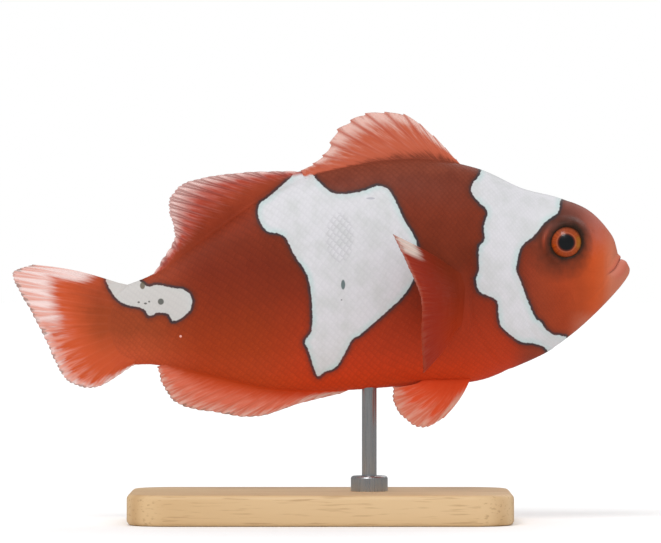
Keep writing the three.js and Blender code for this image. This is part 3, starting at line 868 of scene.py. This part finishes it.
def wood_material():
    """Oiled maple: long soft growth bands, fine pores along the grain and a satin finish."""
    material, t, shader = new_material("maple")
    drift = t.noise(t.place(scale=(0.1, 1.0, 1.0)), 90.0, 3.0)
    bands = t.add(
        "TexWave", t.place(scale=(0.08, 1.0, 0.4)), bands_direction="Y", Scale=70.0, Distortion=5.0,
        Detail=3.0, out=1,
    )
    pores = t.noise(t.place(scale=(0.06, 1.0, 1.0)), 2600.0, 2.0)
    wood = t.paint(
        "wood", (bands, 1, "wood_band"),
        (t.step(drift, 0.35, 0.7), 0.5, "wood_pale"),
        (t.step(pores, 0.56, 0.72), 0.45, "pore"),
    )
    t.feed_all(
        shader, Base_Color=wood, Roughness=t.step(pores, 0.3, 0.7, 0.4, 0.55),
        Normal=t.bump(pores, 0.15, 0.08 * MM),
    )
    return material


def steel_material():
    """Brushed stainless steel with fine lines along the rod."""
    material, t, shader = new_material("brushed_steel")
    lines = t.noise(t.place(scale=(1.0, 1.0, 0.03)), 5200.0, 3.0)
    t.feed_all(
        shader, Base_Color=t.mix(lines, "steel_dark", "steel_light"), Metallic=1.0,
        Roughness=t.step(lines, 0.3, 0.7, 0.24, 0.4), Normal=t.bump(lines, 0.1, 0.04 * MM),
    )
    return material


# ---------------------------------------------------------------------------------------------
# Pieces.
# ---------------------------------------------------------------------------------------------


def mesh_from(shape, name):
    mesh = bpy.data.meshes.new(name)
    shape.to_mesh(mesh)
    shape.free()
    return mesh


def lift_copy(shape):
    """Makes a flat sheet a slab, with a copy of its faces 1 above it."""
    lifted = bmesh.ops.extrude_face_region(shape, geom=shape.faces[:])["geom"]
    upper = [item for item in lifted if isinstance(item, bmesh.types.BMVert)]
    bmesh.ops.translate(shape, verts=upper, vec=(0, 0, 1))


def read_points(mesh):
    values = np.empty(len(mesh.vertices) * 3, np.float32)
    mesh.vertices.foreach_get("co", values)
    return values.reshape(-1, 3).astype(float)


def write_points(mesh, points):
    mesh.vertices.foreach_set("co", to_frame(points).astype(np.float32).ravel())
    mesh.update()


def write_values(mesh, values):
    """Keeps values at a mesh's points, for its material to read by their names."""
    for name, numbers in values.items():
        layer = mesh.attributes.new(name, "FLOAT", "POINT")
        layer.data.foreach_set("value", np.asarray(numbers, np.float32).ravel())


def write_uv(mesh, name, spots):
    layer = mesh.uv_layers.new(name=name)
    corner = np.empty(len(mesh.loops), np.int32)
    mesh.loops.foreach_get("vertex_index", corner)
    layer.data.foreach_set("uv", spots[corner].astype(np.float32).ravel())


def face_out(mesh):
    shape = bmesh.new()
    shape.from_mesh(mesh)
    bmesh.ops.recalc_face_normals(shape, faces=shape.faces)
    shape.to_mesh(mesh)
    shape.free()


def put_in_scene(name, data):
    thing = bpy.data.objects.new(name, data)
    bpy.context.scene.collection.objects.link(thing)
    return thing


def add_piece(mesh, material, replaces=(), smooth_faces=True):
    """Puts a finished mesh in the scene, with its finish, body and the solids that it stands for."""
    piece = put_in_scene(mesh.name, mesh)
    mesh.materials.append(material)
    if smooth_faces:
        mesh.shade_smooth()
    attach(piece, "root")
    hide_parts(*replaces)


def make_skin(material):
    shape = bmesh.new()
    bmesh.ops.create_uvsphere(shape, u_segments=SKIN_AROUND, v_segments=SKIN_ALONG, radius=1.0)
    mesh = mesh_from(shape, "skin")
    ball = read_points(mesh)
    along = np.arccos(np.clip(ball[:, 2], -1, 1)) / math.pi
    turn = np.arctan2(ball[:, 1], ball[:, 0])
    plain = body_point(along, turn)
    lift = relief(plain) - coat_depth(plain)
    write_points(mesh, plain + body_normal(along, turn) * lift[:, None])
    write_values(mesh, markings(plain))
    face_out(mesh)
    flesh = ("head", "jaw_lower", "gill_cover_left", "gill_cover_right", "trunk", "tail_peduncle")
    add_piece(mesh, material, flesh)


def scale_places():
    """Middles of staggered scales on the left side: along, turn and the spacings there."""
    along = np.linspace(*SCALED_PART, RULER_STEPS)
    spot_x, pitches, row_gaps = zip(*SCALE_SPACING)
    flank = body_point(along, np.full(along.size, FLANK_TURN))
    steps = np.linalg.norm(np.diff(flank, axis=0), axis=1)
    count = np.append(0, np.cumsum(steps / np.interp(flank[1:, 0], spot_x, pitches)))
    turn = np.linspace(0, math.pi, RING_STEPS)
    found = []
    for column in range(int(count[-1] * 2)):
        here = np.interp(column / 2, count, along)
        ring = body_point(np.full(turn.size, here), turn)
        x = ring[turn.size // 2, 0]
        row_gap = np.interp(x, spot_x, row_gaps)
        girth = np.append(0, np.cumsum(np.linalg.norm(np.diff(ring, axis=0), axis=1)))
        turns = np.interp(np.arange(column % 2, girth[-1] / row_gap, 2) * row_gap, girth, turn)
        spacings = np.full((turns.size, 2), (np.interp(x, spot_x, pitches), row_gap))
        found.append(np.column_stack((np.full(turns.size, here), turns, spacings)))
    return np.concatenate(found)


def one_scale():
    """A thin plate with a round outline, about its own middle: length on x, width on y, height on z."""
    shape = bmesh.new()
    bmesh.ops.create_grid(shape, x_segments=3, y_segments=3, size=1.0)
    for vertex in shape.verts:
        u, v = vertex.co.x, vertex.co.y
        vertex.co = (u * math.sqrt(1 - v * v / 2) / 2, v * math.sqrt(1 - u * u / 2) / 2, 0)
    under = shape.faces[:]
    lift_copy(shape)
    bmesh.ops.dissolve_faces(shape, faces=[face for face in under if face.is_valid])
    bmesh.ops.reverse_faces(shape, faces=shape.faces)  # laying it on the body turns it over
    return mesh_from(shape, "one_scale")


def copies(pattern_mesh, count, name):
    """One mesh of many copies of a small one, all in the same place and in order."""
    pattern = put_in_scene("pattern", pattern_mesh)
    rows = pattern.modifiers.new("many", "ARRAY")
    rows.count = count
    rows.use_relative_offset = False
    finished = pattern.evaluated_get(bpy.context.evaluated_depsgraph_get())
    mesh = bpy.data.meshes.new_from_object(finished)
    mesh.name = name
    bpy.data.objects.remove(pattern)
    return mesh


def make_scale_sheet(name, places, material, seed):
    """One scale for each place, joined into a piece, each with its rear edge a little proud."""
    pattern = one_scale()
    template = read_points(pattern)
    mesh = copies(pattern, len(places), name)
    chance = np.random.default_rng(seed)
    along, turn, pitch, row_gap = places.T
    size = chance.normal(1, 0.04, len(places))
    tint = chance.normal(0.5, 0.16, len(places))
    shift = chance.normal(0, 0.03, (len(places), 2)) * pitch[:, None]
    step = 0.001
    per_along, per_turn = (
        np.linalg.norm(body_point(along + a, turn + b) - body_point(along - a, turn - b), axis=1)
        / (2 * step) for a, b in ((step, 0), (0, step))
    )
    length = template[:, 0] * (size * pitch * SCALE_LENGTH)[:, None]
    width = template[:, 1] * (size * row_gap * SCALE_WIDTH)[:, None]
    spot_along = np.clip(along[:, None] + (length + shift[:, :1]) / per_along[:, None], 0.001, 0.999)
    spot_turn = turn[:, None] + (width + shift[:, 1:]) / np.maximum(per_turn, 0.3)[:, None]
    point = body_point(spot_along, spot_turn)
    grown = scaled_share(point)
    slope = template[:, 0] - 0.5 + SCALE_CROWN * (0.25 - template[:, 1] ** 2)
    height = SCALE_STEP * slope * pitch[:, None] * grown - SCALE_THICK * (1 - template[:, 2])
    lift = relief(point) + height - SCALE_SUNK - BARE_SUNK * (1 - grown)
    write_points(mesh, (point + body_normal(spot_along, spot_turn) * lift[..., None]).reshape(-1, 3))
    outer = np.hypot(template[:, 0], template[:, 1]) > 0.4
    tints = np.repeat(tint, len(template))
    write_values(mesh, markings(point) | {"rim": outer * grown, "tint": tints})
    middle = np.stack((along, turn / (2 * math.pi) + 0.5), -1)
    patch = middle[:, None] + template[None, :, :2] * PATCH
    write_uv(mesh, "OFBake", patch.reshape(-1, 2))
    add_piece(mesh, material, (), smooth_faces=False)


def make_scales(material):
    left = scale_places()
    left = left[scaled_share(body_point(left[:, 0], left[:, 1])) > LEAST_SCALED]
    right = left[left[:, 1] > 1e-6] * (1, -1, 1, 1)
    both = np.concatenate((left, right))
    make_scale_sheet("scales_head", both[both[:, 0] < HEAD_SHARE], material, 0)
    for word, places in (("left", left), ("right", right)):
        rear = places[:, 0] >= FRONT_SHARE
        front = (places[:, 0] >= HEAD_SHARE) & ~rear
        make_scale_sheet(f"scales_{word}_front", places[front], material, 1)
        make_scale_sheet(f"scales_{word}_rear", places[rear], material, 2)


def body_half_width(x, z):
    """The plain body's half width at side-view points; below 0 outside it, by how far."""
    rings = np.asarray(RINGS)
    middles = (rings[:, 0] + rings[:, 2]) / 2
    along = np.interp(-x, -middles, np.linspace(0, 1, len(rings)))
    step = 0.001
    for _ in range(8):
        ring = spline(RINGS, along)
        down = (z - ring[..., 1]) / np.minimum(ring[..., 3] - ring[..., 1], -0.3)
        off = ring[..., 0] + (ring[..., 2] - ring[..., 0]) * np.clip(down, 0, 1) - x
        after = spline(RINGS, along + step)
        pace = ((after - ring)[..., 0] * (1 - down) + (after - ring)[..., 2] * down) / step
        along = np.clip(along - off / np.minimum(pace, -5), 0, 1 - 2 * step)
    ring = spline(RINGS, along)
    tall = np.maximum(ring[..., 1] - ring[..., 3], 0.3)
    down = (ring[..., 1] - z) / tall
    inside = np.clip(down * (1 - down), 0, 0.25)
    width = ring[..., 4] * (2 * np.sqrt(inside)) ** SECTION_FULLNESS
    outside = np.maximum(-down, down - 1) * tall
    return np.where(inside > 0, width, -2 * np.maximum(outside, 0))


def soft_maximum(first, second, softness):
    return softness * np.logaddexp(first / softness, second / softness)


def is_paired(fin):
    return len(fin["root"][0]) == 3


def fin_line(points, side):
    """A fin's root or edge: on its own side for a paired fin, else on the middle plane."""
    return np.array([(p[0], side * p[1] if len(p) == 3 else 0.0, p[-1]) for p in points])


def fin_sheet(fin, across, out, side):
    """Points of a fin's middle sheet, and how far each lies out, as a share of its ray and in all."""
    start = spline(fin_line(fin["root"], side), across)
    ray = spline(fin_line(fin["edge"], side), across) - start
    length = np.linalg.norm(ray, axis=-1)
    phase = across * (fin["rays"] - 1)
    if fin["tips"] == 1:
        behind = phase - np.floor(phase)
        gap = 1.5 * smooth(0, 0.12, behind) * (1 - behind)
    else:
        gap = 1 - np.abs(np.cos(math.pi * phase * fin["tips"]))
    ragged = 0.5 + 0.25 * np.sin(phase * 5.3 + 1) + 0.25 * np.sin(phase * 2.9)
    reach = out * (length - fin["fringe"] * (gap + 0.8 * ragged) + ROOT_SUNK) - ROOT_SUNK
    share = reach / length
    bow = np.sin(math.pi * np.clip(share, 0, 1))
    point = start + ray / length[..., None] * reach[..., None]
    point[..., 1] += fin["sway"] * np.sin(math.pi * across) * np.maximum(share, 0) ** 2
    point[..., 2] += fin.get("arch", 0) * (1 - smooth(0, 0.35, across)) * bow
    if is_paired(fin):
        point[..., 0] += RAY_BOW * length * bow
    return point, share, reach


def ray_ridge(fin, across, share):
    """1 along the middle of each ray and 0 on the web; soft rays fork twice on their way out."""
    phase = across * (fin["rays"] - 1)
    off = np.abs(phase - np.round(phase))
    fork = fin["forks"] * 0.2 * smooth(0.3, 1.0, share)
    twig = fin["forks"] * 0.09 * smooth(0.65, 1.0, share)
    away = np.abs(np.abs(off - fork) - twig)
    return bell(away, 0.13 - 0.06 * np.clip(share, 0, 1) * fin["forks"])


def pale_patches(fin, across, share):
    """Where a fin is pale beyond its margin, in patches that grow out along its rays."""
    pale = np.zeros(share.shape)
    for begins, full, edge, gone in fin["pale"]:
        pale = np.maximum(pale, smooth(begins, full, share) * (1 - smooth(edge, gone, across)))
    return pale


def make_fin(name, fin, side, material, replaces):
    """A fin as one thin solid that swells at its root into the body."""
    shape = bmesh.new()
    columns = STEPS_PER_RAY * (fin["rays"] - 1)
    bmesh.ops.create_grid(shape, x_segments=columns, y_segments=STEPS_ALONG_RAY, size=0.5)
    lift_copy(shape)
    mesh = mesh_from(shape, name)
    flat = read_points(mesh)
    across, out, face = flat[:, 0] + 0.5, flat[:, 1] + 0.5, flat[:, 2] * 2 - 1
    point, share, reach = fin_sheet(fin, across, out, side)
    step = 0.004
    after, before, outer, inner = (
        fin_sheet(fin, np.clip(across + a, 0, 1), np.clip(out + o, 0, 1), side)[0]
        for a, o in ((step, 0), (-step, 0), (0, step), (0, -step))
    )
    normal = unit(np.cross(after - before, outer - inner))
    ridge = ray_ridge(fin, across, share)
    thick, thin = fin["thick"]
    taper = thin + (thick - thin) * (1 - np.clip(share, 0, 1)) ** 1.5
    half = taper * (1 - RAY_RELIEF * smooth(0.1, 0.5, share) * (1 - ridge))
    marks = markings(point)
    if is_paired(fin):
        half = half + FIN_SWELL * bell(np.maximum(reach, 0), 1.6) * smooth(-2.4, 0.2, reach)
        marks["bar"] = np.full(share.shape, -FAR)
    else:
        flank = body_half_width(point[:, 0], point[:, 2]) - COAT_DEPTH
        half = soft_maximum(half, flank, FIN_BLEND) - ROOT_CLOSED * (1 - smooth(-2.4, -1.2, reach))
    write_points(mesh, point + normal * (half * face)[:, None])
    write_values(mesh, marks | {
        "share": np.maximum(share, 0), "across": across * (fin["rays"] - 1), "ray": ridge,
        "pale": pale_patches(fin, across, share),
    })
    face_out(mesh)
    add_piece(mesh, material, (replaces,))


def make_eye(side, word, material):
    """An eyeball flattened across the fish, its front domed a little more over the pupil."""
    shape = bmesh.new()
    bmesh.ops.create_uvsphere(shape, u_segments=EYE_SEGMENTS, v_segments=EYE_BANDS, radius=1.0)
    mesh = mesh_from(shape, f"eyeball_{word}")
    ball = read_points(mesh)
    away = np.hypot(ball[:, 0], ball[:, 1]) * EYE_RADIUS
    dome = np.where(ball[:, 2] > 0, EYE_DOME * (1 - smooth(0, IRIS_RADIUS, away)), 0) - EYE_FLAT
    across = (ball[:, 2] * EYE_DEPTH + dome) * side
    spots = np.stack((ball[:, 0] * EYE_RADIUS, across, ball[:, 1] * EYE_RADIUS), -1) * EYE_PLAY
    write_points(mesh, spots + np.array((EYE[0], side * EYE_OUT, EYE[1])))
    face_out(mesh)
    add_piece(mesh, material, (f"eye_{word}",))


def rise(edge):
    return abs(edge.verts[0].co.z - edge.verts[1].co.z)


def round_edges(shape, edges, offset, segments):
    bmesh.ops.bevel(
        shape, geom=edges, offset=offset, segments=segments, affect="EDGES", profile=0.5, material=-1
    )


def make_base(material):
    """The stand's base: a flat board with rounded corners and softened edges."""
    low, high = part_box("stand_base")
    shape = bmesh.new()
    bmesh.ops.create_cube(shape, size=1.0)
    bmesh.ops.scale(shape, verts=shape.verts, vec=high - low)
    bmesh.ops.translate(shape, verts=shape.verts, vec=(low + high) / 2)
    uprights = [edge for edge in shape.edges if rise(edge) > (high.z - low.z) / 2]
    round_edges(shape, uprights, BASE_CORNER, 12)
    round_edges(shape, [edge for edge in shape.edges if rise(edge) < 1e-6], BASE_EDGE, 4)
    add_piece(mesh_from(shape, "display_base"), material, ("stand_base",))


def turned(name, profile, middle, material, replaces):
    """A ring or rod turned round an upright line; the profile is a list of (radius, height)."""
    shape = bmesh.new()
    corners = [shape.verts.new((middle[0] + r, middle[1], h)) for r, h in profile]
    edges = [shape.edges.new(pair) for pair in zip(corners, corners[1:] + corners[:1])]
    bmesh.ops.spin(
        shape, geom=corners + edges, cent=(middle[0], middle[1], 0), axis=(0, 0, 1),
        angle=2 * math.pi, steps=TURNED_STEPS, use_merge=True,
    )
    bmesh.ops.remove_doubles(shape, verts=shape.verts, dist=1e-7)
    bmesh.ops.recalc_face_normals(shape, faces=shape.faces)
    mesh = mesh_from(shape, name)
    add_piece(mesh, material, (replaces,))
    mesh.set_sharp_from_angle(angle=TURNED_SHARP)


def make_rod(material):
    low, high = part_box("stand_rod")
    middle = (low + high) / 2
    radius = (high.x - low.x) / 2
    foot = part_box("stand_base")[1].z - ROD_SUNK
    rim = [(radius, high.z - ROD_EDGE), (radius - ROD_EDGE, high.z)]
    profile = [(0, foot), (radius, foot), *rim, (0, high.z)]
    turned("rod", profile, middle, material, "stand_rod")


def make_collar(material):
    low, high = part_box("stand_collar")
    middle = (low + high) / 2
    radius = (high.x - low.x) / 2
    rod_low, rod_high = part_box("stand_rod")
    hole = (rod_high.x - rod_low.x) / 2 + COLLAR_PLAY
    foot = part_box("stand_base")[1].z
    bends = [
        (radius + COLLAR_EDGE * (math.cos(angle) - 1), high.z + COLLAR_EDGE * (math.sin(angle) - 1))
        for angle in np.linspace(0, math.pi / 2, 6)
    ]
    profile = [(hole, foot), (radius, foot), *bends, (hole, high.z)]
    turned("collar", profile, middle, material, "stand_collar")


def make_fins(fish_colours, mottling):
    finish = {
        kind: fin_material(f"fin_{kind}", fish_colours, mottling, **fin["look"])
        for kind, fin in FINS.items()
    }
    for name, kind, solid in MIDDLE_FINS:
        make_fin(name, FINS[kind], 1, finish[kind], solid)
    for word, side in SIDES:
        for kind in PAIRED_FINS:
            make_fin(f"{kind}_{word}", FINS[kind], side, finish[kind], f"{kind}_fin_{word}")


def make_all():
    mottling = mottling_group()
    fish_colours = fish_colour_group(flesh_group(mottling))
    make_skin(skin_material(fish_colours, mottling))
    make_scales(scale_material(fish_colours, mottling))
    iris = iris_material()
    for word, side in SIDES:
        make_eye(side, word, iris)
    make_fins(fish_colours, mottling)
    make_base(wood_material())
    steel = steel_material()
    make_rod(steel)
    make_collar(steel)


# ---------------------------------------------------------------------------------------------
# Floor, light and camera.
# ---------------------------------------------------------------------------------------------


def make_floor():
    """A wide pale floor, seen darker in gloss."""
    shape = bmesh.new()
    bmesh.ops.create_grid(shape, x_segments=8, y_segments=8, size=6.0)
    floor = put_in_scene("floor", mesh_from(shape, "floor"))
    material, t, shader = new_material("pale_floor")
    mirrored = t.add("LightPath").node.outputs["Is Glossy Ray"]
    paint = t.mix(mirrored, (0.97, 0.97, 0.97, 1), (0.3, 0.3, 0.3, 1))
    t.feed_all(shader, Base_Color=paint, Roughness=0.9, Specular_IOR_Level=0.1)
    floor.data.materials.append(material)


def aim(lamp, spot, target):
    """Places a lamp or camera, pointing at a target."""
    away = np.array(spot) - np.array(target)
    lamp.location = spot
    tilt = math.acos(away[2] / np.linalg.norm(away))
    lamp.rotation_euler = (tilt, 0, math.atan2(away[1], away[0]) + math.pi / 2)


def add_sun(name, spot, softness, strength):
    """Even light from one direction, the same over the whole floor."""
    light = bpy.data.lights.new(name, "SUN")
    light.angle = math.radians(softness)
    light.energy = strength
    aim(put_in_scene(name, light), spot, (0, 0, 0))


def make_world():
    """Soft white light from all round, with a pure white backdrop."""
    world = bpy.data.worlds.new("studio")
    world.use_nodes = True
    t = Tree(world.node_tree)
    backdrop = world.node_tree.nodes["Background"]
    seen = t.add("LightPath")
    backdrop.inputs["Color"].default_value = (1, 1, 1, 1)
    lighting = t.step(seen.node.outputs["Is Glossy Ray"], 0.0, 1.0, AMBIENT, MIRRORED)
    t.feed(backdrop.inputs["Strength"], t.math("MAXIMUM", lighting, seen))
    bpy.context.scene.world = world


def light_and_camera():
    make_world()
    scene = bpy.context.scene
    scene.view_settings.view_transform = "Standard"
    add_sun("sun_front", (-0.35, -0.9, 1.1), softness=24, strength=1.0)
    add_sun("sun_back", (0.4, 0.9, 0.9), softness=40, strength=0.45)
    camera = bpy.data.cameras.new("camera")
    camera.lens, camera.sensor_width = LENS, SENSOR
    camera.clip_start, camera.clip_end = 0.05, 50
    middle = (VIEW_MIDDLE[0] * PART, 0, LEVEL + VIEW_MIDDLE[1] * PART)
    scene.camera = put_in_scene("camera", camera)
    aim(scene.camera, (middle[0], -VIEW_FROM * PART, middle[2]), middle)


make_all()
make_floor()
light_and_camera()
